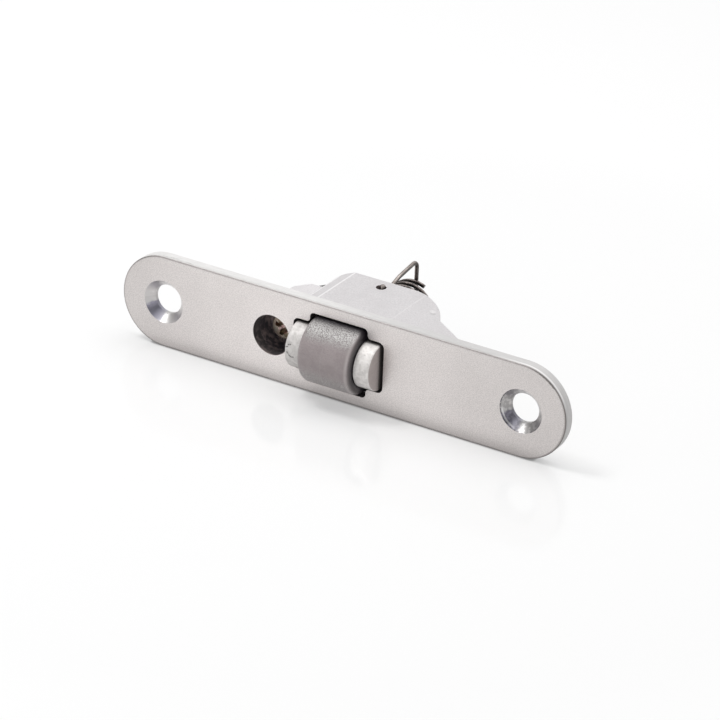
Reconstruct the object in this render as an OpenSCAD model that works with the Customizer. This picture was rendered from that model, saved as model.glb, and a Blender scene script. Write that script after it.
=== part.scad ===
// Mortice roller catch with a sprung roller whose reach can be adjusted.
// The origin is the middle of the faceplate's back face. X runs along the
// faceplate, Y runs into the door and Z is up. All sizes are in millimetres.

/* [Faceplate] */
// Length of the faceplate over its round ends
plate_len = 124; // [120:1:140]
// Width of the faceplate
plate_w = 24; // [23.8:0.2:26]
// Thickness of the faceplate
plate_t = 3; // [2.8:0.1:3.6]
// Rounding of the faceplate's front edge
plate_edge_r = 0.4; // [0.2:0.05:0.6]
// Distance between the two fixing holes
fixing_span = 100; // [96:1:106]
// Diameter of a fixing hole
fixing_d = 7.5; // [5:0.1:8]
// Diameter of a countersink at the front face
countersink_d = 11.2; // [10:0.1:12]
// Depth of a countersink
countersink_depth = 2.1; // [1.6:0.1:2.3]
// Corner radius of the window round the roller
window_r = 1.1; // [0.6:0.1:1.4]
// Corner radius of the window round the lugs
lug_window_r = 1.5; // [0.8:0.1:1.8]
// Radius of the four corners where the two windows cross
crossing_r = 0.9; // [0.4:0.1:1.2]

/* [Roller] */
// Diameter of the roller
roller_d = 17; // [16.4:0.1:17.6]
// Length of the roller
roller_len = 14.6; // [14:0.1:15.4]
// Reach of the roller in front of the faceplate
roller_out = 7.4; // [6.6:0.1:8]
// Rounding of the roller's edges
roller_edge_r = 1.5; // [0.6:0.1:2]
// Diameter of the pin that the roller turns on
pin_d = 4; // [3:0.1:4.6]

/* [Carriage] */
// Height of the carriage's two lugs
lug_d = 11.9; // [11.4:0.1:12.3]
// Height of the guides that the lugs widen into behind the faceplate
guide_h = 12.5; // [12.3:0.1:13]
// Thickness of a lug along the faceplate
lug_t = 4.2; // [3.9:0.1:4.4]
// Reach of the lugs in front of the faceplate
lug_out = 5.3; // [4.6:0.1:5.8]
// Rounding of the lugs' outer edges
lug_edge_r = 0.35; // [0.2:0.05:0.6]
// Thickness of the web behind the roller
web_t = 2; // [1.6:0.1:2.4]
// Length of the spigot that centres the spring
spigot_len = 3; // [2:0.1:4]
// Travel of the roller when it is pressed in
press_travel = 7; // [6:0.1:7.2]

/* [Housing] */
// Thickness of the wall above and below the roller
top_wall = 1.5; // [1.4:0.1:2]
// Thickness of the wall behind the carriage
rear_wall = 1.9; // [1.4:0.1:2.4]
// Thickness of the wall beside the left lug
side_wall = 1.1; // [1:0.1:1.3]
// Distance from the middle to the crease where the left shoulder starts to fall
land_left = 9.5; // [9:0.1:10.4]
// Fall of the left shoulder at the housing's side
shoulder_drop = 1.45; // [1:0.05:1.6]
// Distance from the middle to the crease where the right flank starts to fall
crease_x = 11; // [10:0.1:12]
// Fall of the right flank, in degrees
flank_fall = 7; // [4:0.5:9]
// Distance from the middle to the right end of the round back corner
round_reach = 20.8; // [20.4:0.1:21.4]
// Radius of the round back corner
round_r = 14.6; // [13:0.1:14.8]
// Radius of the left back corner
corner_r = 2; // [1:0.1:3]
// Depth at which the ramp leaves the round corner
ramp_y = 10.5; // [9.6:0.1:11.4]
// Distance from the middle to the toe of the ramp
toe_x = 37.5; // [34:0.1:40]
// Thickness of the ramp at its toe
toe_t = 0.6; // [0.5:0.1:1.2]

/* [Adjuster] */
// Distance from the housing's left side to the adjusting screw
screw_offset = 5.6; // [5.6:0.1:6.2]
// Diameter of the hole that the driver goes in through
access_d = 10.3; // [9.6:0.1:10.6]
// Wall of the boss round the adjusting screw
boss_wall = 1.85; // [1.5:0.05:2.2]
// Length of the boss behind the faceplate
boss_len = 12.3; // [11.6:0.1:12.8]
// Distance from the middle to where the boss's top turns flat
boss_flat_x = 17.2; // [16.6:0.1:17.8]
// Height of the boss's flat top above the middle
boss_flat_z = 8.15; // [7.6:0.05:8.6]
// Depth of the screw's head behind the faceplate
screw_sink = 2.2; // [1.8:0.1:2.6]
// Diameter of the screw's head
screw_head_d = 6.4; // [6:0.1:6.6]
// Height of the screw's head
screw_head_h = 2.2; // [1.8:0.1:2.4]
// Diameter of the screw's thread
screw_d = 4; // [3.6:0.1:4]
// Thickness of the wall that the screw turns in
bearing_t = 2.5; // [2:0.1:2.8]
// Thickness of the washer under the screw's head
washer_t = 0.4; // [0.3:0.05:0.6]
// Thickness of the spring clip behind that wall
clip_t = 0.5; // [0.4:0.05:0.7]
// Travel of the stop slide each way from its middle
adjust_travel = 1.05; // [0.7:0.05:1.05]
// Thickness of the stop slide's back plate
slide_plate_t = 2; // [1.5:0.1:2.2]
// Thickness of the finger that stops the carriage
finger_t = 2; // [1.6:0.1:2.2]
// Height of the finger
finger_h = 4.6; // [4:0.1:5.4]

/* [Spring] */
// Diameter over the coil
spring_d = 13.4; // [12.8:0.1:13.4]
// Diameter of the spring's wire
spring_wire = 1; // [0.8:0.05:1.2]
// Length of the spring as fitted
spring_len = 23.1; // [22:0.1:24]
// Number of turns of the coil
spring_turns = 11.25; // [9.25:1:12.25]
// Angle of the cut end past the top of the coil, in degrees
cut_angle = 29; // [0:1:90]

/* [Bail] */
// Diameter of the bail's wire
bail_wire = 1.05; // [0.9:0.05:1.1]
// Distance from the housing's back to the holes that the bail hooks into
hook_setback = 3.5; // [3.3:0.1:3.7]
// Diameter of those holes
hook_hole_d = 2.6; // [2.2:0.1:2.8]
// Distance from the housing's back to the slight knee in each arm
knee_reach = 4.9; // [4.4:0.1:6]
// Distance between the bail's two back corners, on the wire's middle
bail_span = 22.7; // [22.4:0.1:23.4]

/* [Hidden] */
$fn = 96;

// Clearances and small allowances
cut = 1;                        // how far a cutting shape runs past what it cuts
tangent_sink = 0.02;            // how far a tangent's end sinks into its round
pin_fit = 0.01;                 // round a pin that stays put
running_fit = 0.08;             // round what turns
thread_fit = 0.05;              // round a thread
roller_end_gap = 0.2;           // between the roller and each lug
roller_back_gap = 0.5;          // between the roller and the web behind it
roller_slot_gap = [0.75, 0.65]; // round the roller in the faceplate, along X and Z
lug_slot_gap = 0.95;            // at the ends of the lugs in the faceplate
bay_gap = 0.5;                  // above and below the roller in the housing
guide_gap = 0.4;                // round the guides in the faceplate and the housing
stop_gap = 0.55;                // behind the web at the end of its travel
slide_gap = 0.2;                // round the sliding finger and its leg
pocket_gap = 0.3;               // round the finger inside the carriage's pocket
thrust_gap = 0.05;              // between the parts stacked on the screw
seat_gap = 0.1;                 // at each end of the spring
side_gap = 0.35;                // between the stop slide and the housing's side
peg_gap = 0.05;                 // round a peg in its hole

// Faceplate
plate_r = plate_w / 2;
plate_end_x = plate_len / 2 - plate_r;
fixing_r = fixing_d / 2;
countersink_r = countersink_d / 2;
access_r = access_d / 2;
window_x = roller_len / 2 + roller_slot_gap[0];
window_z = roller_d / 2 + roller_slot_gap[1];

// Roller, its pin and the carriage
roller_r = roller_d / 2;
roller_y = roller_r - plate_t - roller_out;
pin_r = pin_d / 2;
lug_r = lug_d / 2;
lug_y = lug_r - plate_t - lug_out;
guide_start = 2;                // depth at which the lugs widen into the guides
guide_r = guide_h / 2;
lug_in = roller_len / 2 + roller_end_gap;
lug_end = lug_in + lug_t;
web_y = roller_y + roller_r + roller_back_gap;
web_back = web_y + web_t;
pin_seat = 2.7;                 // how deep the pin goes into the right lug
pin_right = lug_in + pin_seat;
pin_chamfer = 0.25;
pocket_depth = 2;               // how deep the finger reaches into the left lug
pocket_x = lug_end - pocket_depth;

// Housing
bay_x = lug_in + guide_gap;
bay_z = roller_r + bay_gap;
bay_corner_r = 1;
guide_x = lug_end + guide_gap;
guide_z = guide_r + guide_gap;
bay_back = web_back + press_travel + adjust_travel + stop_gap;
housing_y = bay_back + rear_wall;
housing_z = bay_z + top_wall;
housing_left = guide_x + side_wall;
shoulder_z = housing_z - shoulder_drop;
shoulder_fall = atan(shoulder_drop / (housing_left - land_left));
round_x = round_reach - round_r;
round_y = housing_y - round_r;
ramp_x = round_x + sqrt(pow(round_r, 2) - pow(ramp_y - round_y, 2));
boss_r = access_r + boss_wall;
peg_r = 0.8;
peg_len = 1.5;
peg_x = [-10.6, 15.5];
peg_z = (guide_z + shoulder_z) / 2;

// Adjusting screw and what is stacked on it
screw_x = housing_left + screw_offset;
screw_r = screw_d / 2;
screw_head_r = screw_head_d / 2;
head_chamfer = 0.3;
recess_w = 0.95;
recess_span = 3.8;
recess_depth = 1.1;
recess_core_r = 1.2;
head_back = screw_sink + screw_head_h;
washer_y = head_back + thrust_gap;
washer_lip = 0.1;               // what shows of the washer round the screw's head
washer_r = screw_head_r + washer_lip;
bearing_y = washer_y + washer_t + thrust_gap;
bearing_back = bearing_y + bearing_t;
clip_y = bearing_back + 2 * thrust_gap;
groove_depth = 0.4;
groove_r = screw_r - groove_depth;
clip_reach = 1.3;
clip_r = screw_r + clip_reach;
clip_rim = 0.9;
clip_prong_w = 1.1;

// Stop slide
slide_y = boss_len + adjust_travel + 2 * thrust_gap;
slide_r = 5.2;                  // round end of the back plate
slide_flat_w = 1.5;             // width of its flat top beside the housing
slide_flat_z = 7.35;            // half its height there
collar_h = 1.5;
collar_wall = 1.7;
collar_r = screw_r + collar_wall;
leg_x = housing_left + side_gap;
leg_t = 1.45;
finger_y = web_y - finger_t;
finger_tip = pocket_x + pocket_gap;
slot_x = leg_x + leg_t + slide_gap;
slot_y = finger_y - adjust_travel - slide_gap;
slot_z = finger_h / 2 + slide_gap;
screw_end = slide_y + slide_plate_t + collar_h + adjust_travel;

// Spring and bail
hook_y = housing_y - hook_setback;
knee_y = housing_y + knee_reach;
coil_sides = 8;
rings_per_turn = 20;
closed_turns = 0.75;            // turns that lie flat at the seat
bail_sides = 12;
bend_step = 9;                  // degrees between two rings round a bend
seat_r = spring_d / 2;
coil_r = (spring_d - spring_wire) / 2;
spigot_gap = 0.3;
spigot_r = seat_r - spring_wire - spigot_gap;
spigot_chamfer = 0.5;
spring_back = web_back + spring_len;
opening_gap = 0.7;
opening_r = seat_r + opening_gap;
hook_rise = 0.3;                // how far the bail's tips stand out of the housing's faces
hook_bend = 0.9;
knee_drop = 0.35;               // depth of the knees below the housing's faces
knee_bend = 6;
corner_bend = 1.6;
arm_gap = 0.45;                 // between the coil and the bail's arms at the hooks
bail_r = bail_wire / 2;
bail_tip_y = hook_y + hook_hole_d / 2 - bail_r - pin_fit;
bail_tip_z = housing_z + hook_rise;
bail_hook_z = seat_r + arm_gap + bail_r;
bail_knee_z = housing_z - knee_drop;
bail_leg_y = spring_back + seat_gap + bail_r;
bail_z = bail_span / 2;
bail_bends = [0, hook_bend, knee_bend, corner_bend, corner_bend, knee_bend, hook_bend, 0];
bail_half = [[bail_tip_y, bail_tip_z], [bail_tip_y, bail_hook_z],
    [knee_y, bail_knee_z], [bail_leg_y, bail_z]];
bail_path = concat(bail_half, [for (i = [3:-1:0]) [bail_half[i][0], -bail_half[i][1]]]);
bail_slope = (bail_knee_z - bail_hook_z) / (knee_y - bail_tip_y);
bail_slot_z = bail_hook_z + bail_slope * (housing_y - bail_tip_y)
    + bail_r * sqrt(1 + pow(bail_slope, 2)) + slide_gap;

// Upright outline about the middle, given depth along +Y from the plane y
module along_y(y, depth) {
    translate([0, y, 0]) rotate([-90, 0, 0]) linear_extrude(depth) children();
}

// Round bar along +Y
module bar_y(x, y, z, r, depth) {
    translate([x, y, z]) rotate([-90, 0, 0]) cylinder(h = depth, r = r);
}

// Shape turned about an axis along Y through the adjusting screw, from [radius, y] points
module turned_on_screw(points) {
    translate([-screw_x, 0, 0]) rotate([-90, 0, 0]) rotate_extrude() polygon(points);
}

// Box between two values on each axis, the same above and below the middle
module slab(x0, x1, y0, y1, half_z) {
    translate([x0, y0, -half_z]) cube([x1 - x0, y1 - y0, 2 * half_z]);
}

// Rectangle about the middle with four round corners
module rounded_rect(w, h, r) {
    square([w - 2 * r, h], center = true);
    square([w, h - 2 * r], center = true);
    for (sx = [-1, 1], sy = [-1, 1])
        translate([sx * (w / 2 - r), sy * (h / 2 - r)]) circle(r);
}

// Half section of a disc of radius r and thickness t, its outer edge rounded at height 0
module edged_half_section(r, t, edge) {
    square([r - edge, t]);
    translate([0, edge]) square([r, t - edge]);
    intersection() {
        translate([r - edge, edge]) circle(edge);
        square([r, t]);
    }
}

// The same section carried to both sides of the axis
module edged_section(r, t, edge) {
    edged_half_section(r, t, edge);
    mirror([1, 0]) edged_half_section(r, t, edge);
}

// Pieces of the faceplate
module plate_blank() {
    translate([-plate_end_x, -plate_t, 0]) rotate([0, 90, 0])
        linear_extrude(2 * plate_end_x) edged_section(plate_r, plate_t, plate_edge_r);
    for (side = [0, 1]) mirror([side, 0, 0])
        translate([plate_end_x, -plate_t, 0]) rotate([-90, 0, 0]) rotate([0, 0, -90])
            rotate_extrude(angle = 180) edged_half_section(plate_r, plate_t, plate_edge_r);
}

module fixing_hole(x) {
    bar_y(x, -plate_t - cut, 0, fixing_r, plate_t + 2 * cut);
    translate([x, -plate_t, 0]) rotate([-90, 0, 0])
        cylinder(h = countersink_depth, r1 = countersink_r, r2 = fixing_r);
    bar_y(x, -plate_t - cut, 0, countersink_r, cut);
}

// Cross-shaped window that the roller and its lugs stand out through
module window_outline() {
    rounded_rect(2 * window_x, 2 * window_z, window_r);
    rounded_rect(2 * (lug_end + lug_slot_gap), 2 * guide_z, lug_window_r);
    for (sx = [0, 1], sz = [0, 1]) mirror([sx, 0]) mirror([0, sz])
        translate([window_x, guide_z]) difference() {
            translate([-cut, -cut]) square(crossing_r + cut);
            translate([crossing_r, crossing_r]) circle(crossing_r);
        }
}

module faceplate() {
    color([0.80, 0.79, 0.78]) difference() {
        plate_blank();
        for (side = [-1, 1]) fixing_hole(side * fixing_span / 2);
        bar_y(-screw_x, -plate_t - cut, 0, access_r, plate_t + 2 * cut);
        along_y(-plate_t - cut, plate_t + 2 * cut) window_outline();
        for (x = peg_x, side = [-1, 1])
            bar_y(x, -peg_len - peg_gap, side * peg_z, peg_r + peg_gap, peg_len + cut);
    }
}

// Plan of the housing: a block with one small and one large round corner, and a ramp
module housing_plan() {
    translate([-housing_left, 0]) square([housing_left + round_x, housing_y - corner_r]);
    translate([corner_r - housing_left, 0])
        square([housing_left + round_x - corner_r, housing_y]);
    translate([corner_r - housing_left, housing_y - corner_r]) circle(corner_r);
    translate([round_x, 0]) intersection() {
        translate([0, round_y]) circle(round_r);
        square([round_r, housing_y]);
    }
    polygon([[round_x, 0], [toe_x, 0], [toe_x, toe_t], [ramp_x, ramp_y], [round_x, ramp_y]]);
}

// Round boss whose sides rise at a tangent into a flat web that runs to the plane X = -web_x
module boss_outline(r, flat_x, flat_z, web_x) {
    reach = [screw_x - flat_x, flat_z];
    angle = atan2(reach[1], reach[0]) + acos(r / norm(reach));
    sunk = r - tangent_sink;
    side = [sunk * cos(angle) - screw_x, sunk * sin(angle)];
    translate([-screw_x, 0]) circle(r);
    polygon([[-web_x, -flat_z], [-web_x, flat_z], [-flat_x, flat_z], side,
        [side[0], -side[1]], [-flat_x, -flat_z]]);
}

// What the falls of the right flank and the left shoulder take off the housing's top
module above_the_top() {
    translate([crease_x, -cut, housing_z]) rotate([0, flank_fall, 0])
        cube([toe_x, housing_y + 2 * cut, housing_z]);
    translate([-land_left, -cut, housing_z]) rotate([0, -shoulder_fall, 0])
        translate([-housing_left, 0, 0])
            cube([housing_left, housing_y + 2 * cut, housing_z]);
}

module housing() {
    color([0.86, 0.86, 0.87]) difference() {
        union() {
            difference() {
                translate([0, 0, -housing_z]) linear_extrude(2 * housing_z) housing_plan();
                for (side = [0, 1]) mirror([0, 0, side]) above_the_top();
            }
            along_y(0, boss_len) boss_outline(boss_r, boss_flat_x, boss_flat_z,
                housing_left - side_wall / 2);
            for (x = peg_x, side = [-1, 1])
                bar_y(x, -peg_len, side * peg_z, peg_r, peg_len + cut);
        }
        along_y(-cut, bay_back + cut) {
            rounded_rect(2 * bay_x, 2 * bay_z, bay_corner_r);
            rounded_rect(2 * guide_x, 2 * guide_z, bay_corner_r);
        }
        bar_y(0, bay_back - cut, 0, opening_r, rear_wall + 2 * cut);
        slab(-bail_r - slide_gap, bail_r + slide_gap, bay_back - cut, housing_y + cut,
            bail_slot_z);
        translate([0, hook_y, -housing_z - cut])
            cylinder(h = 2 * (housing_z + cut), d = hook_hole_d);
        bar_y(-screw_x, -cut, 0, access_r, bearing_y + cut);
        bar_y(-screw_x, bearing_back, 0, access_r, boss_len - bearing_back + cut);
        bar_y(-screw_x, 0, 0, screw_r + running_fit, boss_len);
        slab(-slot_x, slide_gap - finger_tip, slot_y, housing_y + cut, slot_z);
    }
}

module roller() {
    bore_r = pin_r + running_fit;
    half = roller_len / 2;
    color([0.55, 0.53, 0.52]) translate([0, roller_y, 0]) rotate([0, 90, 0]) rotate_extrude() {
        translate([bore_r, -half]) square([roller_r - roller_edge_r - bore_r, roller_len]);
        translate([bore_r, roller_edge_r - half])
            square([roller_r - bore_r, roller_len - 2 * roller_edge_r]);
        for (side = [-1, 1])
            translate([roller_r - roller_edge_r, side * (half - roller_edge_r)])
                circle(roller_edge_r);
    }
}

module roller_pin() {
    left = pocket_x + thrust_gap;
    right = pin_right - thrust_gap;
    color([0.70, 0.70, 0.72]) translate([0, roller_y, 0]) rotate([0, 90, 0]) rotate_extrude()
        polygon([[0, -left], [pin_r - pin_chamfer, -left], [pin_r, pin_chamfer - left],
            [pin_r, right - pin_chamfer], [pin_r - pin_chamfer, right], [0, right]]);
}

// One lug: a half disc in front, carried straight back into a higher guide and to the web
module lug_bar(y, r) {
    translate([-lug_end, y, 0]) rotate([-90, 0, 0]) linear_extrude(web_back - y)
        mirror([1, -1]) edged_section(r, lug_t, lug_edge_r);
}

module lug() {
    translate([-lug_end, lug_y, 0]) rotate([0, 90, 0]) rotate([0, 0, 180])
        rotate_extrude(angle = 180) edged_half_section(lug_r, lug_t, lug_edge_r);
    lug_bar(lug_y, lug_r);
    lug_bar(guide_start, guide_r);
}

module carriage() {
    color([0.88, 0.88, 0.89]) difference() {
        union() {
            for (side = [0, 1]) mirror([side, 0, 0]) lug();
            slab(-lug_in - lug_t / 2, lug_in + lug_t / 2, web_y, web_back, guide_r);
            bar_y(0, web_y, 0, seat_r, web_t);
            bar_y(0, web_y, 0, spigot_r, web_t + spigot_len - spigot_chamfer);
            translate([0, web_back + spigot_len - spigot_chamfer, 0]) rotate([-90, 0, 0])
                cylinder(h = spigot_chamfer, r1 = spigot_r, r2 = spigot_r - spigot_chamfer);
        }
        translate([-lug_end - cut, roller_y, 0]) rotate([0, 90, 0])
            cylinder(h = lug_end + cut + pin_right, r = pin_r + pin_fit);
        slab(-lug_end - cut, -pocket_x, finger_y - press_travel - pocket_gap, web_y,
            finger_h / 2 + pocket_gap);
    }
}

// Faces of a wire that is swept through rings of points, with flat ends
function wire_faces(rings, sides) = concat(
    [for (i = [0:rings - 2], k = [0:sides - 1])
        let (next = (k + 1) % sides, a = i * sides, b = a + sides)
        each [[a + k, b + k, b + next], [a + k, b + next, a + next]]],
    [[for (k = [0:sides - 1]) k]],
    [[for (k = [sides - 1:-1:0]) (rings - 1) * sides + k]]);

// Middle of the spring's wire: flat turns at the seat, then an even pitch to the cut end
function coil_y(turn) =
    let (first = web_back + seat_gap + spring_wire / 2,
        last = spring_back - spring_wire / 2,
        pitch = (last - first - closed_turns * spring_wire) / (spring_turns - closed_turns))
    first + min(turn, closed_turns) * spring_wire + max(turn - closed_turns, 0) * pitch;
function coil_ring(turn) =
    let (a = cut_angle + 360 * (turn - spring_turns), y = coil_y(turn))
    [for (k = [0:coil_sides - 1])
        let (b = -360 * k / coil_sides,
            radius = coil_r + spring_wire / 2 * cos(b),
            rise = spring_wire / 2 * sin(b))
        [radius * sin(a), y + rise, radius * cos(a)]];

module pressure_spring() {
    rings = round(spring_turns * rings_per_turn);
    points = [for (i = [0:rings]) each coil_ring(spring_turns * i / rings)];
    color([0.33, 0.30, 0.28]) polyhedron(points, wire_faces(rings + 1, coil_sides));
}

// Stations [y, z, heading] round one corner of a flat path of [y, z] points
function bend_stations(before, corner, after, r) =
    let (from = atan2(corner[1] - before[1], corner[0] - before[0]),
        to = atan2(after[1] - corner[1], after[0] - corner[0]),
        turn = (to - from + 540) % 360 - 180,
        side = sign(turn),
        trim = r * tan(abs(turn) / 2),
        mid = corner - trim * [cos(from), sin(from)] + side * r * [-sin(from), cos(from)],
        steps = max(2, ceil(abs(turn) / bend_step)))
    [for (i = [0:steps])
        let (h = from + turn * i / steps)
        [mid[0] + side * r * sin(h), mid[1] - side * r * cos(h), h]];

module spring_bail() {
    last = len(bail_path) - 1;
    stations = concat([[bail_path[0][0], bail_path[0][1], -90]],
        [for (i = [1:last - 1])
            each bend_stations(bail_path[i - 1], bail_path[i], bail_path[i + 1], bail_bends[i])],
        [[bail_path[last][0], bail_path[last][1], -90]]);
    points = [for (s = stations, k = [0:bail_sides - 1])
        let (b = 360 * k / bail_sides, out = bail_r * cos(b))
        [bail_r * sin(b), s[0] - out * sin(s[2]), s[1] + out * cos(s[2])]];
    color([0.42, 0.38, 0.35]) polyhedron(points, wire_faces(len(stations), bail_sides));
}

module adjusting_screw() {
    tip = screw_end - pin_chamfer;
    color([0.62, 0.50, 0.38]) difference() {
        turned_on_screw([[0, screw_sink], [screw_head_r - head_chamfer, screw_sink],
            [screw_head_r, screw_sink + head_chamfer], [screw_head_r, head_back],
            [screw_r, head_back], [screw_r, clip_y - thrust_gap],
            [groove_r, clip_y - thrust_gap], [groove_r, clip_y + clip_t + thrust_gap],
            [screw_r, clip_y + clip_t + thrust_gap], [screw_r, tip],
            [screw_r - pin_chamfer, screw_end], [0, screw_end]]);
        translate([-screw_x, screw_sink + recess_depth, 0]) rotate([90, 0, 0]) {
            for (turn = [45, 135]) rotate([0, 0, turn])
                translate([-recess_span / 2, -recess_w / 2, 0])
                    cube([recess_span, recess_w, recess_depth + cut]);
            cylinder(h = recess_depth, r1 = recess_w / 2, r2 = recess_core_r);
        }
    }
}

module thrust_washer() {
    color([0.75, 0.75, 0.76]) turned_on_screw([[screw_r + running_fit, washer_y],
        [washer_r, washer_y], [washer_r, washer_y + washer_t],
        [screw_r + running_fit, washer_y + washer_t]]);
}

// Open ring with three prongs that sit in the screw's groove
module screw_clip() {
    color([0.30, 0.29, 0.28]) translate([-screw_x, 0, 0]) along_y(clip_y, clip_t)
        difference() {
            union() {
                difference() {
                    circle(clip_r);
                    circle(clip_r - clip_rim);
                }
                for (turn = [0, 90, 180]) rotate(turn) translate([0, -clip_prong_w / 2])
                    square([clip_r - clip_rim / 2, clip_prong_w]);
            }
            circle(groove_r + thrust_gap);
            translate([0, -clip_r]) square([2 * groove_r, 2 * clip_r - clip_rim], center = true);
        }
}

// Threaded back plate, a leg along the housing's side and the finger at its end
module stop_slide() {
    half = finger_h / 2;
    color([0.36, 0.35, 0.35]) difference() {
        union() {
            along_y(slide_y, slide_plate_t)
                boss_outline(slide_r, leg_x + slide_flat_w, slide_flat_z, leg_x);
            bar_y(-screw_x, slide_y, 0, collar_r, slide_plate_t + collar_h);
            slab(-leg_x - leg_t, -leg_x, finger_y, slide_y + slide_plate_t, half);
            slab(-leg_x - leg_t, -finger_tip, finger_y, web_y, half);
        }
        bar_y(-screw_x, slide_y - cut, 0, screw_r + thread_fit,
            slide_plate_t + collar_h + 2 * cut);
    }
}

faceplate();
housing();
roller();
roller_pin();
carriage();
pressure_spring();
spring_bail();
adjusting_screw();
thrust_washer();
screw_clip();
stop_slide();
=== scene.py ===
"""Looks of the roller catch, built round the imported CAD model."""

import math

import bmesh
import bpy
from mathutils import Matrix, Vector


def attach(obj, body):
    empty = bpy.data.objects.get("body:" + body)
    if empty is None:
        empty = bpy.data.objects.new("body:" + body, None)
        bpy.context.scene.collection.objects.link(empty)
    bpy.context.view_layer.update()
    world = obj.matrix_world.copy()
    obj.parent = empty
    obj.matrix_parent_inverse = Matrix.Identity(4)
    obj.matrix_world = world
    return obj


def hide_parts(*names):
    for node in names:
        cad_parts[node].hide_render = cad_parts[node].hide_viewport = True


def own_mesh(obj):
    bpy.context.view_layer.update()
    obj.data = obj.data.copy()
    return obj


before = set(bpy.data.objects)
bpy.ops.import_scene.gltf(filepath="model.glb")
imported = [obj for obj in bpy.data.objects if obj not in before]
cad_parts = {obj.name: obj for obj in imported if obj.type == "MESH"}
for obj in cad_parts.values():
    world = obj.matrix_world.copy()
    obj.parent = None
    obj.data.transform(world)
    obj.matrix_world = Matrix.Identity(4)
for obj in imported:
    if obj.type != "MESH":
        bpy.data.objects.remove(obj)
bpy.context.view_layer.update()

MM = 0.001

# Sizes of the CAD model that the looks refer to, in mm
SCREW_X = -18.8
ACCESS_R = 5.15
HEAD_FRONT = 2.2
HEAD_BACK = 4.4
FIXING_X = 50.0
COUNTERSINK_R = 5.6
FACE_R = 11.5
WINDOW_X = 12.65
WINDOW_Z = 9.15
BAY = {"X": 12.1, "Y": 17.7, "Z": 9.0}
HOUSING_LEFT = -13.2
LAND_LEFT = -9.5
CREASE_X = 11
HOOK_Y = 16.1
HOOK_HOLE_R = 1.3
LUG_END = 11.7
PLATE_FRONT = -3.0
FLOOR_Z = -12
COIL_R = 6.2

# How far the screw's cross is turned from upright in the photo, in degrees
CROSS_ANGLE = 32

# A small dent in the housing's right flank, X and Y in mm
DENT = (16.3, 12.9)

# Light that the white floor gives off where it is seen, and how much it mirrors
FLOOR_GLOW = 0.455
FLOOR_MIRROR = 0.085
MIRROR_FADES = (130, 180)

# Direction in which the dim side of the room lies, where the photographer stands
DIM_SIDE = (0.457, -0.769, 0.446)
ROOM_LIGHT = 0.62


# --- materials ------------------------------------------------------------------------------


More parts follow.
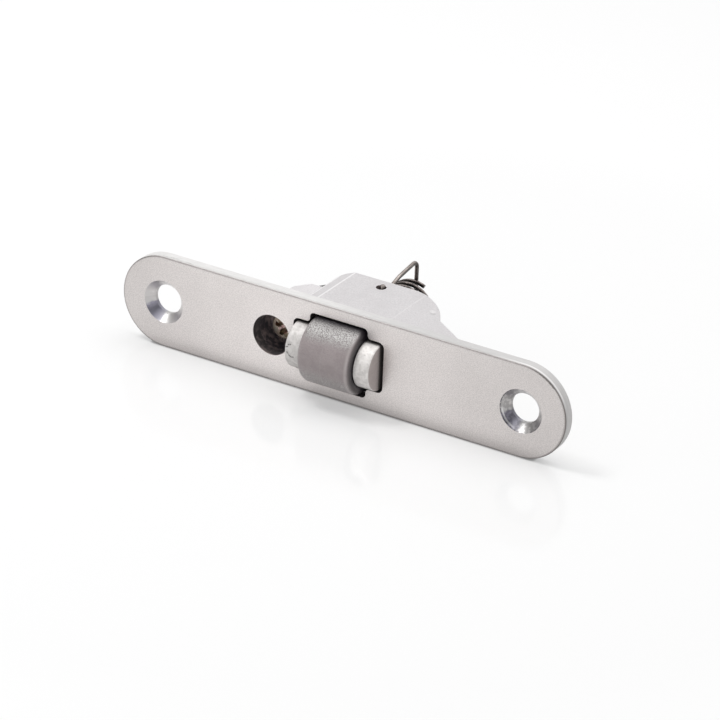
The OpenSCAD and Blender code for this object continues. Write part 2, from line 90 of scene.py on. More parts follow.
class Graph:
    """Node tree of a new material or world, with a short call for each kind of node."""

    def __init__(self, owner, kind="Material"):
        self.owner = owner
        owner.use_nodes = True
        self.tree = owner.node_tree
        self.tree.nodes.clear()
        self.output = self.tree.nodes.new("ShaderNodeOutput" + kind)
        self.place = self.tree.nodes.new("ShaderNodeTexCoord").outputs["Object"]

    def node(self, kind, sockets=None, **settings):
        """New node with its settings, and with values or links for its sockets."""
        made = self.tree.nodes.new("ShaderNode" + kind)
        for key, value in settings.items():
            setattr(made, key, value)
        for key, value in (sockets or {}).items():
            if isinstance(value, bpy.types.NodeSocket):
                self.tree.links.new(value, made.inputs[key])
            else:
                made.inputs[key].default_value = value
        return made

    def finish(self, shader):
        """Feeds the output and gives back the material or world."""
        self.tree.links.new(shader.outputs[0], self.output.inputs[0])
        return self.owner

    def math(self, operation, a, b=0.0, clamp=False):
        return self.node("Math", {0: a, 1: b}, operation=operation, use_clamp=clamp).outputs[0]

    def times(self, *factors):
        """Product of several numbers."""
        total = factors[0]
        for factor in factors[1:]:
            total = self.math("MULTIPLY", total, factor)
        return total

    def most(self, a, b):
        return self.math("MAXIMUM", a, b)

    def rest(self, share):
        """What a share leaves of 1."""
        return self.math("SUBTRACT", 1.0, share)

    def away(self, value, middle):
        """How far a number is from another, on either side."""
        return self.math("ABSOLUTE", self.math("SUBTRACT", value, middle))

    def ramp(self, value, low, high, to_low=0.0, to_high=1.0):
        """Smooth step of value from low..high to to_low..to_high."""
        sockets = {0: value, 1: low, 2: high, 3: to_low, 4: to_high}
        return self.node("MapRange", sockets, interpolation_type="SMOOTHSTEP").outputs[0]

    def within(self, value, limit, soft=0.04):
        """Share from 0 to 1 that is high below a limit."""
        return self.ramp(value, limit - soft, limit + soft, 1, 0)

    def mix(self, share, a, b):
        """Blend of two colours, each with its alpha."""
        return self.node("Mix", {0: share, 6: a, 7: b}, data_type="RGBA").outputs[2]

    def blend(self, share, a, b):
        """Blend of two numbers."""
        return self.node("Mix", {0: share, 2: a, 3: b}).outputs[0]

    def dim(self, colour, factor):
        """Colour multiplied by a number."""
        return self.node("VectorMath", {0: colour, 3: factor}, operation="SCALE").outputs[0]

    def scaled(self, stretch):
        """Coordinates in millimetres, stretched along each axis."""
        sockets = {0: self.place, 1: tuple(value / MM for value in stretch)}
        return self.node("VectorMath", sockets, operation="MULTIPLY").outputs[0]

    def noise(self, scale, detail=2.0, roughness=0.5, stretch=(1, 1, 1), distortion=0.0):
        """Noise from 0 to 1 with about scale features in a millimetre."""
        sockets = {"Vector": self.scaled(stretch), "Scale": scale, "Detail": detail,
                   "Roughness": roughness, "Distortion": distortion}
        return self.node("TexNoise", sockets).outputs[0]

    def cells(self, scale):
        """Distance to the nearest of scattered points, about scale of them in a millimetre."""
        sockets = {"Vector": self.scaled((1, 1, 1)), "Scale": scale, "Randomness": 1.0}
        return self.node("TexVoronoi", sockets).outputs["Distance"]

    def axes(self, vector):
        return self.node("SeparateXYZ", {0: vector}).outputs

    def along(self, axis):
        """Coordinate along one axis in millimetres."""
        return self.math("MULTIPLY", self.axes(self.place)["XYZ".index(axis)], 1 / MM)

    def off_axis(self, **centre):
        """Distance in millimetres from an axis that runs along the coordinate left out."""
        squares = [self.math("POWER", self.math("SUBTRACT", self.along(axis.upper()), value), 2.0)
                   for axis, value in centre.items()]
        return self.math("SQRT", self.math("ADD", *squares))

    def heading(self, axis):
        """The surface's own normal along one axis of the object."""
        normal = self.node("TexCoord").outputs["Normal"]
        return self.axes(normal)["XYZ".index(axis)]

    def facing(self, axis):
        """Size of the surface's own normal along one axis of the object."""
        return self.math("ABSOLUTE", self.heading(axis))

    def line(self, axis, value, half, soft=0.12):
        """Share from 0 to 1 that is high within half a width of one coordinate, in mm."""
        return self.ramp(self.away(self.along(axis), value), half, half + soft, 1, 0)

    def stroke(self, axes, start, end, half, soft=0.1):
        """Share from 0 to 1 that is high along a straight scratch in the plane of two axes."""
        run = [b - a for a, b in zip(start, end)]
        length = math.hypot(*run)
        offset = [self.math("SUBTRACT", self.along(axis), value)
                  for axis, value in zip(axes, start)]
        share = self.math("ADD", self.times(offset[0], run[0] / length ** 2),
                          self.times(offset[1], run[1] / length ** 2), clamp=True)
        gaps = [self.math("SUBTRACT", c, self.times(share, r)) for c, r in zip(offset, run)]
        total = self.math("ADD", *(self.math("POWER", gap, 2.0) for gap in gaps))
        return self.ramp(self.math("SQRT", total), half, half + soft, 1, 0)

    def stops(self, value, stops):
        """Colours along a value from 0 to 1, from (place, colour) stops."""
        made = self.node("ValToRGB", {0: value})
        elements = made.color_ramp.elements
        while len(elements) < len(stops):
            elements.new(0.5)
        for element, (at, colour) in zip(elements, stops):
            element.position = at
            element.color = colour + (1,)
        return made.outputs[0]

    def rounded(self, radius):
        """Normal of edges that are rounded by a radius in mm."""
        return self.node("Bevel", {"Radius": radius * MM}, samples=6).outputs[0]

    def edge(self, radius, low=0.02, high=0.2):
        """Share from 0 to 1 that is high along sharp edges."""
        sharp = self.node("NewGeometry").outputs["Normal"]
        dot = self.node("VectorMath", {0: self.rounded(radius), 1: sharp},
                        operation="DOT_PRODUCT").outputs["Value"]
        return self.ramp(self.rest(dot), low, high)

    def hollow(self, distance, low=0.2, high=0.75):
        """Share from 0 to 1 that is high in crevices."""
        made = self.node("AmbientOcclusion", {"Distance": distance * MM}, samples=8)
        return self.rest(self.ramp(made.outputs["AO"], low, high))

    def bump(self, height, distance, strength, normal=None):
        sockets = {"Height": height, "Distance": distance * MM, "Strength": strength}
        if normal is not None:
            sockets["Normal"] = normal
        return self.node("Bump", sockets).outputs[0]

    def driver_hole(self):
        """Share from 0 to 1 that is high on the walls of the way to the adjusting screw."""
        return self.within(self.off_axis(x=SCREW_X, z=0), ACCESS_R + 0.065, 0.035)

    def shade(self, colour, roughness, metallic, normal, **more):
        sockets = {"Base Color": colour, "Roughness": roughness, "Metallic": metallic,
                   "Normal": normal, **more}
        return self.finish(self.node("BsdfPrincipled", sockets))


def new_material(name):
    return Graph(bpy.data.materials.new(name))


def rim_colours(g, x, depth):
    """The blanked rim of the plate, with painted light that makes it paler on the left, and its
    streaks.
    """
    streak = g.noise(1.6, detail=3, roughness=0.6, stretch=(0.2, 1.4, 0.2))
    colour = g.mix(g.ramp(x, -15, 25), (0.73, 0.72, 0.712, 1), (0.60, 0.59, 0.585, 1))
    colour = g.dim(colour, g.times(g.ramp(streak, 0.3, 0.7, 0.95, 1.04),
                                   g.ramp(depth, -2.9, -1.8, 0.80, 1.0)))
    # a painted highlight, a pale band round the right end
    pale_band_highlight = g.times(g.line("Y", -2.3, 0.1, 0.35), g.ramp(x, 38, 53),
                   g.ramp(g.heading("Z"), 0.15, 0.6))
    colour = g.mix(g.times(pale_band_highlight, 0.75), colour, (0.94, 0.92, 0.92, 1))
    # dark scuffs on the left half
    scuffs = g.noise(0.9, detail=4, roughness=0.7, stretch=(0.3, 2.5, 0.3))
    scuffs = g.times(g.ramp(scuffs, 0.55, 0.63), g.ramp(depth, -1.0, -2.3),
                     g.ramp(x, -15, -35))
    colour = g.mix(g.times(scuffs, 0.55), colour, (0.30, 0.29, 0.28, 1))
    # bright chips in the plating
    chips = g.times(g.ramp(g.cells(1.1), 0.08, 0.2, 1, 0), g.ramp(g.noise(0.1), 0.5, 0.6),
                    g.ramp(depth, -1.4, -2.2))
    return g.mix(chips, colour, (0.97, 0.96, 0.94, 1)), streak


def countersink_colours(g, x, height, radius):
    """Turned countersinks with a painted reflection, dark and blue on one side, the right one
    dirtier.
    """
    aside = g.math("SUBTRACT", x, g.times(g.math("SIGN", x), FIXING_X))
    angle = g.math("ARCTAN2", height, aside)
    turned = g.math("ADD", g.times(angle, 0.5 / math.pi), g.times(g.noise(0.8), 0.04))
    # painted reflection that goes round each cone
    colour = g.stops(g.math("ADD", turned, 0.48), [
        (0.0, (0.55, 0.535, 0.53)), (0.05, (0.50, 0.49, 0.49)), (0.065, (0.26, 0.25, 0.30)),
        (0.16, (0.40, 0.395, 0.47)), (0.215, (0.50, 0.49, 0.54)),
        (0.235, (0.72, 0.71, 0.71)), (0.27, (0.68, 0.67, 0.66)), (0.31, (0.62, 0.60, 0.59)),
        (0.44, (0.66, 0.63, 0.61)), (0.6, (0.66, 0.64, 0.63)), (0.8, (0.68, 0.66, 0.65)),
        (0.87, (0.50, 0.48, 0.48)), (0.92, (0.56, 0.54, 0.53)), (0.96, (0.60, 0.585, 0.58))])
    right = g.ramp(x, -1, 1)
    dull = g.times(right, g.ramp(g.noise(1.1, detail=4), 0.45, 0.6, 0.75, 0.2))
    colour = g.mix(dull, colour, g.dim(colour, 0.5))
    # a ring left by the cutter, and chips along the upper rim
    chatter = g.times(g.ramp(g.away(radius, 5.2), 0.05, 0.2, 1, 0), right,
                      g.ramp(aside, -1, -3), g.ramp(height, 0, -1.5))
    colour = g.mix(g.times(chatter, 0.6), colour, (0.85, 0.84, 0.84, 1))
    chipped = g.times(g.ramp(radius, 5.36, 5.46), right,
                      g.ramp(g.noise(1.5, detail=3), 0.46, 0.54))
    return g.mix(g.times(chipped, 0.8), colour, (0.10, 0.095, 0.11, 1))


def plate_steel():
    g = new_material("plate_steel")
    x, depth, height = (g.along(axis) for axis in "XYZ")
    grain = g.noise(4.0, detail=3, roughness=0.6)
    mottle = g.noise(1.4, detail=2)
    cloud = g.noise(0.09, detail=2)
    colour = g.mix(g.ramp(grain, 0.3, 0.7), (0.66, 0.625, 0.612, 1), (0.895, 0.848, 0.832, 1))
    colour = g.dim(colour, g.ramp(mottle, 0.3, 0.7, 0.975, 1.025))
    colour = g.dim(colour, g.ramp(cloud, 0.35, 0.7, 1.0, 0.96))
    # painted light: brightest left of the roller, and painted shade near the surface that it
    # stands on
    low = g.blend(g.ramp(x, -38, -56, 0, 0.7), g.ramp(height, -14, -6.5, 0.72, 1.0), 1.0)
    colour = g.dim(colour, g.times(g.ramp(x, -68, -18, 0.81, 1.0),
                                   g.ramp(x, -5, 62, 1.0, 0.80), low))
    specks = g.ramp(g.cells(0.42), 0.03, 0.07, 1, 0)
    colour = g.mix(g.times(specks, 0.3), colour, (0.36, 0.34, 0.33, 1))
    rim = g.ramp(g.facing("Y"), 0.25, 0.6, 1, 0)
    rim_colour, streak = rim_colours(g, x, depth)
    colour = g.mix(rim, colour, rim_colour)
    radius = g.math("MINIMUM", g.off_axis(x=FIXING_X, z=0), g.off_axis(x=-FIXING_X, z=0))
    cone = g.times(g.within(radius, COUNTERSINK_R), g.ramp(g.heading("Y"), 0.5, 0.8, 1, 0))
    colour = g.mix(cone, colour, countersink_colours(g, x, height, radius))
    # painted shade on the rounded front edge and along the outline, darker where it looks down or
    # to the right
    between = g.times(g.ramp(g.facing("Y"), 0.2, 0.45), g.ramp(g.facing("Y"), 0.86, 0.98, 1, 0),
                      g.ramp(depth, -2.6, -2.5, 1, 0), g.rest(cone))
    edge = g.blend(g.ramp(g.heading("Z"), 0.1, 0.6), 0.95, 0.8)
    beyond = g.most(g.math("SUBTRACT", g.math("ABSOLUTE", x), FIXING_X), 0.0)
    reach = g.math("SQRT", g.math("ADD", g.math("POWER", beyond, 2.0),
                                  g.math("POWER", height, 2.0)))
    outline = g.times(g.ramp(reach, FACE_R - 0.08, FACE_R + 0.12),
                      g.ramp(g.facing("Y"), 0.9, 0.98), g.ramp(height, 8, -2, 0.12, 0.5))
    colour = g.mix(g.most(g.times(between, edge), outline), colour, (0.17, 0.155, 0.15, 1))
    # painted shade, mottled, on the walls of the driver's hole and of the window
    window = g.times(g.within(g.math("ABSOLUTE", x), WINDOW_X + 0.07),
                     g.within(g.math("ABSOLUTE", height), WINDOW_Z + 0.07), rim)
    opening_shade = g.mix(g.times(g.ramp(g.noise(0.5, detail=4), 0.42, 0.62), g.ramp(height, 1.5, -2.5)),
                  (0.035, 0.027, 0.03, 1), (0.20, 0.16, 0.155, 1))
    colour = g.mix(g.times(g.most(g.driver_hole(), window), 0.93), colour, opening_shade)
    # the shade that the roller and the lugs cast round the window
    near = g.times(g.hollow(3.5, 0.6, 0.98), g.rest(rim), 0.3)
    colour = g.mix(near, colour, (0.30, 0.27, 0.265, 1))
    roughness = g.blend(cone, g.blend(rim, 0.46, 0.6), 0.33)
    relief = g.blend(rim, grain, g.times(streak, 1.2))
    rings = g.math("SINE", g.times(depth, 42.0))
    relief = g.blend(cone, relief, g.times(rings, 0.35))
    return g.shade(colour, roughness, g.blend(rim, 1.0, 0.2), g.bump(relief, 0.012, 0.9))


def housing_alloy():
    g = new_material("housing_alloy")
    grain = g.noise(3.2, detail=4, roughness=0.65)
    cloud = g.noise(0.16, detail=3)
    colour = g.mix(g.ramp(grain, 0.3, 0.7), (0.568, 0.551, 0.558, 1), (0.687, 0.667, 0.675, 1))
    colour = g.mix(g.ramp(cloud, 0.4, 0.75, 0, 0.4), colour, (0.57, 0.55, 0.555, 1))
    # the boss is lighter than the rest
    boss = g.ramp(g.along("X"), HOUSING_LEFT - 1.5, HOUSING_LEFT - 0.2, 1, 0)
    colour = g.dim(colour, g.ramp(boss, 0, 1, 1.0, 1.13))
    # the dent catches the light, and its lip is in the shade
    dent = g.within(g.off_axis(x=DENT[0], y=DENT[1]), 0.75, 0.25)
    lip = g.within(g.off_axis(x=DENT[0] + 0.55, y=DENT[1] - 0.75), 0.7, 0.2)
    colour = g.mix(g.times(dent, 0.45), colour, (0.82, 0.80, 0.80, 1))
    colour = g.mix(g.times(lip, g.rest(dent), 0.35), colour, (0.38, 0.37, 0.37, 1))
    # painted highlights: pale lines along the casting's edges and creases
    crease_highlights = g.most(g.line("X", LAND_LEFT, 0.1, 0.3), g.line("X", HOUSING_LEFT, 0.25, 0.3))
    crease_highlights = g.times(g.most(crease_highlights, g.times(g.line("X", CREASE_X, 0.05, 0.3), 0.25)),
                      g.ramp(g.facing("Z"), 0.3, 0.6))
    colour = g.mix(g.times(g.most(g.edge(0.3), crease_highlights), 0.7), colour, (0.90, 0.89, 0.89, 1))
    # painted shade, mottled brown, inside the bores and the bay
    bay = g.times(g.within(g.math("ABSOLUTE", g.along("X")), BAY["X"] + 0.06),
                  g.within(g.math("ABSOLUTE", g.along("Z")), BAY["Z"] + 0.06),
                  g.within(g.along("Y"), BAY["Y"] + 0.06))
    hook = g.times(g.within(g.off_axis(x=0, y=HOOK_Y), HOOK_HOLE_R + 0.05, 0.03),
                   g.ramp(g.facing("Z"), 0.5, 0.8, 1, 0))
    inside = g.most(g.most(g.driver_hole(), hook), bay)
    bore_shade = g.mix(g.ramp(g.noise(0.7, detail=4), 0.38, 0.66), (0.045, 0.037, 0.048, 1),
                  (0.33, 0.26, 0.25, 1))
    colour = g.mix(g.times(inside, 0.95), colour, bore_shade)
    relief = g.math("ADD", grain, g.times(cloud, 1.5))
    relief = g.math("SUBTRACT", relief, g.times(dent, 2.5))
    return g.shade(colour, 0.55, 0.3, g.bump(relief, 0.03, 0.7, g.rounded(0.3)))


def carriage_alloy():
    g = new_material("carriage_alloy")
    flow = g.noise(0.75, detail=4, roughness=0.6, distortion=0.6)
    grain = g.noise(3.0, detail=4, roughness=0.7)
    end = g.ramp(g.facing("X"), 0.8, 0.95)
    colour = g.mix(g.ramp(flow, 0.3, 0.7), (0.58, 0.558, 0.542, 1), (0.76, 0.735, 0.72, 1))
    # painted light: the right lug lighter than the left, and painted shade on the lugs' end faces
    colour = g.dim(colour, g.ramp(g.along("X"), -5, 5, 0.96, 1.13))
    colour = g.mix(g.times(end, 0.85), colour, (0.455, 0.40, 0.39, 1))
    pits = g.times(g.ramp(g.cells(0.6), 0.05, 0.14, 1, 0), g.ramp(g.noise(0.25), 0.48, 0.6))
    colour = g.mix(g.times(pits, 0.6), colour, (0.22, 0.21, 0.2, 1))
    # scratches on the front of the left lug, ends in X and Z
    front = g.ramp(g.along("Y"), -5, -6, 0, 1)
    scars = g.stroke("XZ", (-10.9, -0.1), (-10.5, -0.75), 0.08, 0.25)
    for one, other in (((-10.5, -0.75), (-9.9, -1.15)), ((-9.7, -1.2), (-9.2, -1.0)),
                       ((-11.4, 1.1), (-10.9, 1.3)), ((-10.8, 1.75), (-10.2, 1.95))):
        scars = g.most(scars, g.stroke("XZ", one, other, 0.04, 0.22))
    scars = g.times(scars, front, g.ramp(g.noise(2.2), 0.3, 0.55))
    colour = g.mix(g.times(scars, 0.9), colour, (0.06, 0.05, 0.05, 1))
    # bright and dark chips along the edges of the ends
    worn = g.times(g.edge(0.35, 0.03, 0.2), front)
    bright = g.ramp(g.noise(1.3, detail=3), 0.52, 0.6)
    colour = g.mix(g.times(worn, bright, 0.8), colour, (0.95, 0.93, 0.91, 1))
    black = g.ramp(g.noise(1.7, detail=3, stretch=(1, 1, 1.3)), 0.53, 0.6)
    colour = g.mix(g.times(worn, black, 0.75), colour, (0.12, 0.11, 0.11, 1))
    # painted shade along the left edge and on the undersides
    left = g.most(g.times(front, 0.45), g.ramp(g.along("Z"), -1, -2.5, 0, 0.85))
    left = g.times(g.ramp(g.along("X"), 0.3 - LUG_END, 0.05 - LUG_END), left)
    dark = g.most(left, g.ramp(g.heading("Z"), -0.6, -0.85, 0, 0.5))
    colour = g.mix(dark, colour, (0.2, 0.19, 0.18, 1))
    # painted shade where the lugs stand in the window, and in the gaps beside the roller
    recess_shade = g.ramp(g.along("Y"), PLATE_FRONT - 0.55, PLATE_FRONT - 0.2)
    colour = g.mix(g.times(recess_shade, 0.7), colour, (0.13, 0.115, 0.11, 1))
    colour = g.mix(g.times(g.hollow(3.5, 0.25, 0.8), 0.85), colour, (0.04, 0.032, 0.03, 1))
    relief = g.math("ADD", g.times(flow, 3.0), g.times(grain, 0.5))
    relief = g.math("SUBTRACT", relief, g.times(pits, 1.6))
    roughness = g.blend(end, g.ramp(grain, 0.3, 0.7, 0.56, 0.66), 0.6)
    return g.shade(colour, roughness, 0.4, g.bump(relief, 0.07, 0.9, g.rounded(0.25)))


def roller_plastic():
    g = new_material("roller_plastic")
    grain = g.noise(2.3, detail=3, roughness=0.6)
    cloud = g.noise(0.3, detail=2)
    middle = g.ramp(g.math("ABSOLUTE", g.along("X")), 5.2, 6.2, 1, 0)
    colour = g.mix(g.ramp(cloud, 0.35, 0.7), (0.298, 0.255, 0.257, 1),
                   (0.336, 0.289, 0.291, 1))
    # the grain glitters where the light comes from above, and less so underneath
    up = g.axes(g.node("NewGeometry").outputs["Normal"])[2]
    glitter = g.most(g.ramp(up, 0.5, 0.85), g.ramp(up, -0.15, -0.5, 0, 0.45))
    colour = g.dim(colour, g.blend(glitter, g.ramp(grain, 0.35, 0.65, 0.95, 1.05), 0.5))
    colour = g.mix(g.times(glitter, g.ramp(g.noise(4.4, detail=1), 0.4, 0.6)), colour,
                   (0.54, 0.53, 0.515, 1))
    seam = g.times(g.line("X", -0.4, 0.05), 0.12)
    colour = g.mix(seam, colour, (0.46, 0.43, 0.42, 1))
    # painted highlight where its right end starts to round off, and painted shade on that end
    ends = g.line("X", 6.45, 0.08, 0.45)
    colour = g.mix(g.times(ends, 0.28), colour, (0.66, 0.61, 0.60, 1))
    colour = g.mix(g.ramp(g.along("X"), 6.6, 7.25, 0, 0.85), colour, (0.05, 0.042, 0.042, 1))
    # painted shade where it turns into the window and beside the right lug
    colour = g.mix(g.times(g.hollow(5.0, 0.70, 0.965), 0.98), colour, (0.02, 0.016, 0.02, 1))
    relief = g.math("ADD", g.times(grain, g.blend(middle, 0.3, 1.0)), seam)
    roughness = g.times(g.blend(middle, 0.36, 0.4), g.ramp(grain, 0.35, 0.65, 0.85, 1.15))
    return g.shade(colour, roughness, 0.0, g.bump(relief, 0.16, 0.9), IOR=1.62)


def plain_steel(name, dark, light, roughness):
    """Steel with a fine grain between two colours, and edges a little lighter."""
    g = new_material(name)
    grain = g.noise(2.5, detail=4, roughness=0.65)
    colour = g.mix(g.ramp(grain, 0.3, 0.7), dark, light)
    rubbed = tuple(min(1, value * 1.3) for value in light[:3]) + (1,)
    colour = g.mix(g.times(g.edge(0.15), 0.4), colour, rubbed)
    rough = g.ramp(grain, 0.2, 0.8, roughness - 0.06, roughness + 0.08)
    return g.shade(colour, rough, 1.0, g.bump(grain, 0.012, 0.7, g.rounded(0.1)))


def drawn_wire(name, dark, light, roughness, coiled=False):
    """Wire with fine lines along its length, from the sweep's own coordinates."""
    g = new_material(name)
    stretched = g.node("VectorMath", {0: g.node("UVMap").outputs[0], 1: (0.35, 9.0, 1.0)},
                       operation="MULTIPLY").outputs[0]
    lines = g.node("TexNoise", {"Vector": stretched, "Scale": 1.0, "Detail": 4.0,
                                "Roughness": 0.6}).outputs[0]
    spots = g.noise(1.3, detail=3)
    stained = tuple(value * 0.6 for value in dark[:3]) + (1,)
    colour = g.mix(g.ramp(lines, 0.3, 0.7), dark, light)
    colour = g.mix(g.ramp(spots, 0.5, 0.75, 0, 0.5), colour, stained)
    # painted light and shade: the side that looks down or to the right is darker
    aside = g.math("SUBTRACT", g.heading("Z"), g.times(g.heading("X"), 0.8))
    colour = g.dim(colour, g.ramp(aside, -0.9, 0.7, 0.5 if coiled else 0.25, 1.2))
    if coiled:
        # painted shade on the inside of the coil and on its front side
        outward = g.math("ADD", g.times(g.heading("X"), g.along("X")),
                         g.times(g.heading("Z"), g.along("Z")))
        colour = g.dim(colour, g.ramp(outward, -0.35 * COIL_R, 0.45 * COIL_R, 0.12, 1.0))
        front = g.blend(g.ramp(g.along("X"), 1, 4), 0.15, 0.45)
        colour = g.dim(colour, g.blend(g.ramp(g.heading("Y"), -0.75, 0.05), front, 1.15))
    # painted shade where the wire runs close to itself and to other parts
    colour = g.mix(g.times(g.hollow(1.6, 0.3, 0.85), 0.8), colour, (0.02, 0.015, 0.013, 1))
    rough = g.ramp(spots, 0.3, 0.7, roughness - 0.05, roughness + 0.12)
    return g.shade(colour, rough, 1.0, g.bump(lines, 0.01, 0.6))


def across_screw(g, degrees, reach, half, soft):
    """Share from 0 to 1 that is high along a line through the screw's axis."""
    x, z = (reach * f(math.radians(degrees)) for f in (math.cos, math.sin))
    return g.stroke("XZ", (SCREW_X - x, -z), (SCREW_X + x, z), half, soft)


def screw_steel():
    g = new_material("screw_steel")
    tint = g.noise(0.8, detail=2)
    grain = g.noise(4.0, detail=3)
    colour = g.mix(g.ramp(tint, 0.35, 0.6), (0.60, 0.55, 0.47, 1), (0.52, 0.42, 0.345, 1))
    colour = g.mix(g.ramp(grain, 0.45, 0.8, 0, 0.5), colour, (0.46, 0.45, 0.34, 1))
    # dark brown in the cross, partly its own colour and partly painted shade
    depth = g.along("Y")
    head = g.within(depth, HEAD_BACK - 0.1, 0.1)
    sunk = g.times(g.ramp(depth, HEAD_FRONT + 0.2, HEAD_FRONT + 1.1),
                   g.within(g.off_axis(x=SCREW_X, z=0), 2.45, 0.05), head)
    cross_brown = g.mix(g.ramp(g.noise(1.1, detail=2), 0.4, 0.6), (0.17, 0.075, 0.05, 1),
                 (0.16, 0.13, 0.08, 1))
    recess_shade = across_screw(g, CROSS_ANGLE + 85, 2, 0.5, 0.35)
    colour = g.mix(g.times(g.most(sunk, recess_shade), head, 0.85), colour, cross_brown)
    # a pink painted highlight along one slot of the cross
    wing_highlight = g.times(across_screw(g, CROSS_ANGLE, 2.1, 0.25, 0.25),
                   g.ramp(depth, HEAD_FRONT + 0.02, HEAD_FRONT + 0.1), head)
    colour = g.mix(wing_highlight, colour, (1.0, 0.72, 0.68, 1))
    return g.shade(colour, 0.3, g.rest(wing_highlight), g.bump(grain, 0.012, 0.7, g.rounded(0.12)))


def give(node, material):
    """Puts a better material on a CAD node."""
    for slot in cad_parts[node].material_slots:
        slot.material = material


give("faceplate", plate_steel())
give("housing", housing_alloy())
give("carriage", carriage_alloy())
give("roller", roller_plastic())
give("roller_pin", plain_steel("pin_steel", (0.55, 0.55, 0.56, 1), (0.74, 0.74, 0.75, 1), 0.28))
give("thrust_washer",
     plain_steel("washer_steel", (0.55, 0.55, 0.55, 1), (0.72, 0.72, 0.72, 1), 0.34))
give("screw_clip",
     plain_steel("clip_steel", (0.06, 0.055, 0.05, 1), (0.13, 0.12, 0.11, 1), 0.36))
give("stop_slide",
     plain_steel("slide_steel", (0.085, 0.08, 0.078, 1), (0.16, 0.15, 0.145, 1), 0.42))


# --- wires ----------------------------------------------------------------------------------


def add_piece(name, mesh, material):
    """Object in the scene from an edited mesh, with one material."""
    data = bpy.data.meshes.new(name)
    mesh.to_mesh(data)
    mesh.free()
    data.materials.append(material)
    for face in data.polygons:
        face.material_index = 0
    piece = bpy.data.objects.new(name, data)
    bpy.context.scene.collection.objects.link(piece)
    return piece


def sweep(name, path, radius, material, sides=16):
    """Round wire along a path of points in mm, with smooth sides, capped ends and a UV map."""
    points = [Vector(p) for p in path]
    tangents = [(ahead - behind).normalized() for behind, ahead
                in zip(points[:1] + points[:-1], points[1:] + points[-1:])]
    mesh = bmesh.new()
    layer = mesh.loops.layers.uv.new("UVMap")
    normal = tangents[0].orthogonal().normalized()
    rings, lengths, length = [], [], 0.0
    for i, (point, tangent) in enumerate(zip(points, tangents)):
        if i:
            length += (point - points[i - 1]).length
            normal = (normal - tangent * normal.dot(tangent)).normalized()
        side = tangent.cross(normal)
        ring = []
        for k in range(sides):
            a = 2 * math.pi * k / sides
            offset = radius * (math.cos(a) * normal + math.sin(a) * side)
            ring.append(mesh.verts.new((point + offset) * MM))
        rings.append(ring)
        lengths.append(length)
    for i in range(len(rings) - 1):
        for k in range(sides):
            n = (k + 1) % sides
            face = mesh.faces.new((rings[i][k], rings[i][n], rings[i + 1][n], rings[i + 1][k]))
            face.smooth = True
            corners = ((lengths[i], k), (lengths[i], k + 1),
                       (lengths[i + 1], k + 1), (lengths[i + 1], k))
            for loop, (u, v) in zip(face.loops, corners):
                loop[layer].uv = (u, v / sides)
    for ring in (list(reversed(rings[0])), rings[-1]):
        face = mesh.faces.new(ring)
        for loop in face.loops:
            loop[layer].uv = (loop.vert.co.x / MM, loop.vert.co.z / MM)
    return add_piece(name, mesh, material)


def rounded_path(corners, radii, step=6):
    """Path of [y, z] points with its corners rounded, as 3-D points at X = 0."""
    made = [corners[0]]
    for before, corner, after, radius in zip(corners, corners[1:], corners[2:], radii):
        a = math.atan2(corner[1] - before[1], corner[0] - before[0])
        b = math.atan2(after[1] - corner[1], after[0] - corner[0])
        turn = (b - a + 3 * math.pi) % (2 * math.pi) - math.pi
        side = math.copysign(1, turn)
        trim = radius * math.tan(abs(turn) / 2)
        mid = (corner[0] - trim * math.cos(a) - side * radius * math.sin(a),
               corner[1] - trim * math.sin(a) + side * radius * math.cos(a))
        steps = max(3, math.ceil(math.degrees(abs(turn)) / step))
        for i in range(steps + 1):
            h = a + turn * i / steps
            made.append((mid[0] + side * radius * math.sin(h),
                         mid[1] - side * radius * math.cos(h)))
    made.append(corners[-1])
    return [(0, y, z) for y, z in made]


# the coil starts behind the furthest place that the stop slide takes the carriage to
STOP_TRAVEL = 1.05
SPRING_FRONT = 9.1 + STOP_TRAVEL
SPRING_BACK = 32.2
SEAT_GAP = 0.1
WIRE_R = 0.5
TURNS = 10.75
CUT_ANGLE = 29
CLOSED = 0.75
STEPS_A_TURN = 40


def coil_path():
    """Coil whose first turn is closed and whose last one ends at the cut's angle."""
    first = SPRING_FRONT + SEAT_GAP + WIRE_R
    last = SPRING_BACK - WIRE_R
    pitch = (last - first - CLOSED * 2 * WIRE_R) / (TURNS - CLOSED)
    path = []
    steps = round(TURNS * STEPS_A_TURN)
    for i in range(steps + 1):
        turn = TURNS * i / steps
        y = first + min(turn, CLOSED) * 2 * WIRE_R + max(turn - CLOSED, 0) * pitch
        a = math.radians(CUT_ANGLE + 360 * (turn - TURNS))
        path.append((COIL_R * math.sin(a), y, COIL_R * math.cos(a)))
    return path


spring = sweep("spring_coil", coil_path(), WIRE_R,
               drawn_wire("spring_wire", (0.12, 0.10, 0.095, 1), (0.36, 0.315, 0.295, 1), 0.3,
                          coiled=True))
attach(spring, "case")
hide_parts("pressure_spring")
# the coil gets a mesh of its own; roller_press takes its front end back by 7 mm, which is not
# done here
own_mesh(spring)

# half of the bail's corners, as Y and Z in mm, and the rounding of all but its ends
BAIL_R = 0.525
BAIL_HALF = [(16.865, 10.8), (16.865, 7.675), (24.5, 10.15), (32.825, 11.35)]
BAIL_ROUNDS = [0.9, 6, 1.6]

bail_corners = BAIL_HALF + [(y, -z) for y, z in reversed(BAIL_HALF)]
bail = sweep("bail_arms", rounded_path(bail_corners, BAIL_ROUNDS + BAIL_ROUNDS[::-1]), BAIL_R,
             drawn_wire("bail_wire", (0.20, 0.172, 0.158, 1), (0.41, 0.368, 0.345, 1), 0.32))
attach(bail, "case")
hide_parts("spring_bail")


# --- adjusting screw ------------------------------------------------------------------------

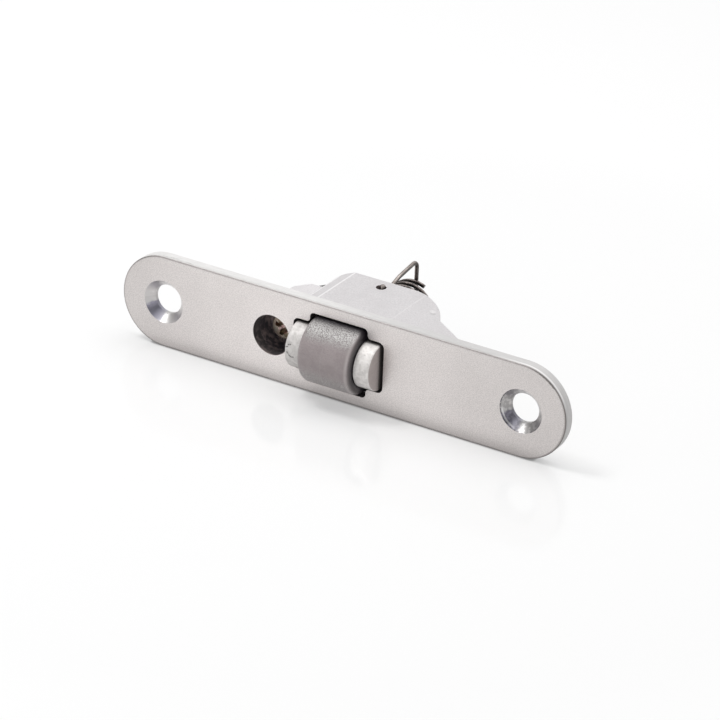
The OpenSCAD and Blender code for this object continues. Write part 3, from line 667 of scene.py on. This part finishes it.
THREAD_FROM = 8.25
THREAD_TO = 18.0
THREAD_PITCH = 0.7
THREAD_R = 2.0
THREAD_DEPTH = 0.4
THREAD_LEAD_IN = 1.2
THREAD_SIDES = 32
ROWS_A_PITCH = 8
# half of the thread's root and one of its flanks, as shares of the pitch
ROOT_HALF = 0.12
FLANK = 0.27
# the cross in the CAD screw's head, with a little room round it, and how much it is widened
CROSS_R = 2.05
CROSS_BOTTOM = 3.4
CROSS_SPREAD = 0.2
SHARP_FROM = math.radians(40)


def thread_radius(y, share):
    """Radius of the right-hand thread at a depth and a share of a whole turn."""
    phase = (y / THREAD_PITCH - share) % 1
    rise = min(max((abs(phase - 0.5) - ROOT_HALF) / FLANK, 0), 1)
    radius = THREAD_R - THREAD_DEPTH * (1 - rise)
    lead_in = THREAD_LEAD_IN * min(y - THREAD_FROM, THREAD_TO - y)
    return min(radius, THREAD_R - THREAD_DEPTH + lead_in)


def thread_rings(mesh):
    """Threaded shank along the screw's axis, closed at both ends."""
    rows = round((THREAD_TO - THREAD_FROM) / THREAD_PITCH * ROWS_A_PITCH)
    rings = []
    for i in range(rows + 1):
        y = THREAD_FROM + (THREAD_TO - THREAD_FROM) * i / rows
        ring = []
        for k in range(THREAD_SIDES):
            a = 2 * math.pi * k / THREAD_SIDES
            r = thread_radius(y, k / THREAD_SIDES)
            place = (SCREW_X + r * math.sin(a), y, r * math.cos(a))
            ring.append(mesh.verts.new([value * MM for value in place]))
        rings.append(ring)
    for low, high in zip(rings, rings[1:]):
        for k in range(THREAD_SIDES):
            n = (k + 1) % THREAD_SIDES
            mesh.faces.new((low[k], high[k], high[n], low[n])).smooth = True
    mesh.faces.new(rings[0])
    mesh.faces.new(reversed(rings[-1]))


def threaded_screw(material):
    """The CAD screw's own head and groove, with a threaded shank in place of the plain one."""
    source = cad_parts["adjusting_screw"]
    mesh = bmesh.new()
    mesh.from_mesh(source.data)
    axis = Matrix.Translation((SCREW_X * MM, 0, 0))
    turn = Matrix.Rotation(math.radians(-CROSS_ANGLE), 4, "Y")
    mesh.transform(axis @ turn @ axis.inverted() @ source.matrix_world)
    bmesh.ops.remove_doubles(mesh, verts=mesh.verts[:], dist=1e-6)
    # the cross is drawn wider than in the CAD model
    for vert in mesh.verts:
        spread = Vector((vert.co.x - SCREW_X * MM, 0, vert.co.z))
        if vert.co.y < CROSS_BOTTOM * MM and spread.length < CROSS_R * MM:
            vert.co += CROSS_SPREAD * spread
    cut = bmesh.ops.bisect_plane(mesh, geom=mesh.verts[:] + mesh.edges[:] + mesh.faces[:],
                                 plane_co=(0, THREAD_FROM * MM, 0), plane_no=(0, 1, 0),
                                 clear_outer=True)["geom_cut"]
    bmesh.ops.edgeloop_fill(mesh, edges=[e for e in cut if isinstance(e, bmesh.types.BMEdge)])
    thread_rings(mesh)
    bmesh.ops.recalc_face_normals(mesh, faces=mesh.faces[:])
    for edge in mesh.edges:
        edge.smooth = len(edge.link_faces) == 2 and edge.calc_face_angle(0) < SHARP_FROM
    return add_piece("screw_threaded", mesh, material)


screw = threaded_screw(screw_steel())
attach(screw, "adjuster")
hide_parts("adjusting_screw")


# --- floor, light and camera ----------------------------------------------------------------


def backdrop():
    """White world for the camera and for gloss, and a plain soft light for everything else."""
    world = bpy.data.worlds.new("studio")
    bpy.context.scene.world = world
    g = Graph(world, "World")
    path = g.node("LightPath").outputs
    seen = g.most(path["Is Camera Ray"], path["Is Transmission Ray"])
    # the side of the room that the photographer stands in is dim, and gloss shows it
    toward = g.node("TexCoord").outputs["Generated"]
    dot = g.node("VectorMath", {0: toward, 1: DIM_SIDE}, operation="DOT_PRODUCT")
    gloss = g.ramp(dot.outputs["Value"], 0.80, 0.97, 1.0, 0.12)
    light = g.blend(path["Is Glossy Ray"], ROOM_LIGHT, gloss)
    g.finish(g.node("Background", {"Strength": g.blend(seen, light, 1.0)}))


def floor():
    g = new_material("floor_white")
    path = g.node("LightPath").outputs
    seen = g.most(path["Is Camera Ray"],
                  g.most(path["Is Glossy Ray"], path["Is Transmission Ray"]))
    lit = g.node("BsdfDiffuse", {"Color": (0.50, 0.50, 0.50, 1)}).outputs[0]
    # the floor's own light fades close under the object, which keeps its shadow
    clear = g.times(g.rest(g.times(g.hollow(0.8, 0.5, 0.92), 0.6)),
                    g.rest(g.times(g.hollow(24, 0.45, 1.0), 0.11)))
    own = g.node("Emission", {"Strength": g.times(seen, clear, FLOOR_GLOW)}).outputs[0]
    body = g.node("AddShader", {0: lit, 1: own}).outputs[0]
    mirror = g.node("BsdfGlossy", {"Color": (1, 1, 1, 1), "Roughness": 0.1}).outputs[0]
    # only the floor close to the object mirrors it
    share = g.ramp(g.off_axis(x=0, y=0), *MIRROR_FADES, FLOOR_MIRROR, 0)
    material = g.finish(g.node("MixShader", {0: share, 1: body, 2: mirror}))
    half = 6.0
    data = bpy.data.meshes.new("floor")
    data.from_pydata([(-half, -half, 0), (half, -half, 0), (half, half, 0), (-half, half, 0)],
                     [], [(0, 1, 2, 3)])
    data.materials.append(material)
    piece = bpy.data.objects.new("floor", data)
    piece.location.z = FLOOR_Z * MM
    bpy.context.scene.collection.objects.link(piece)


def lamp(name, place, size, watts):
    """Soft lamp that looks at the object from a place in metres, and that no camera sees."""
    data = bpy.data.lights.new(name, "AREA")
    data.shape = "RECTANGLE"
    data.size, data.size_y = size
    data.energy = watts
    piece = bpy.data.objects.new(name, data)
    piece.location = place
    piece.rotation_euler = (-Vector(place)).to_track_quat("-Z", "Y").to_euler()
    piece.visible_camera = False
    bpy.context.scene.collection.objects.link(piece)


def camera():
    """Camera fitted to the faceplate's outline and its holes in the photo."""
    data = bpy.data.cameras.new("photo_view")
    data.lens = 193.45
    data.sensor_width = 36
    data.clip_start = 0.05
    piece = bpy.data.objects.new("photo_view", data)
    piece.matrix_world = Matrix((
        (0.850055, -0.260336, 0.457856, 0.42575),
        (0.525605, 0.363411, -0.769202, -0.70784),
        (0.033861, 0.894516, 0.445753, 0.40903),
        (0, 0, 0, 1)))
    bpy.context.scene.collection.objects.link(piece)
    bpy.context.scene.camera = piece


backdrop()
floor()
lamp("overhead", (0.10, 0.15, 0.75), (0.9, 0.7), 2.5)
lamp("over_left", (-0.40, -0.11, 0.77), (0.22, 0.22), 2.8)
lamp("left_window", (-0.6, -0.55, 0.35), (0.5, 0.5), 0.2)
lamp("front_fill", (0.45, -0.8, 0.08), (0.4, 0.14), 1.2)
camera()
bpy.context.scene.view_settings.view_transform = "Standard"
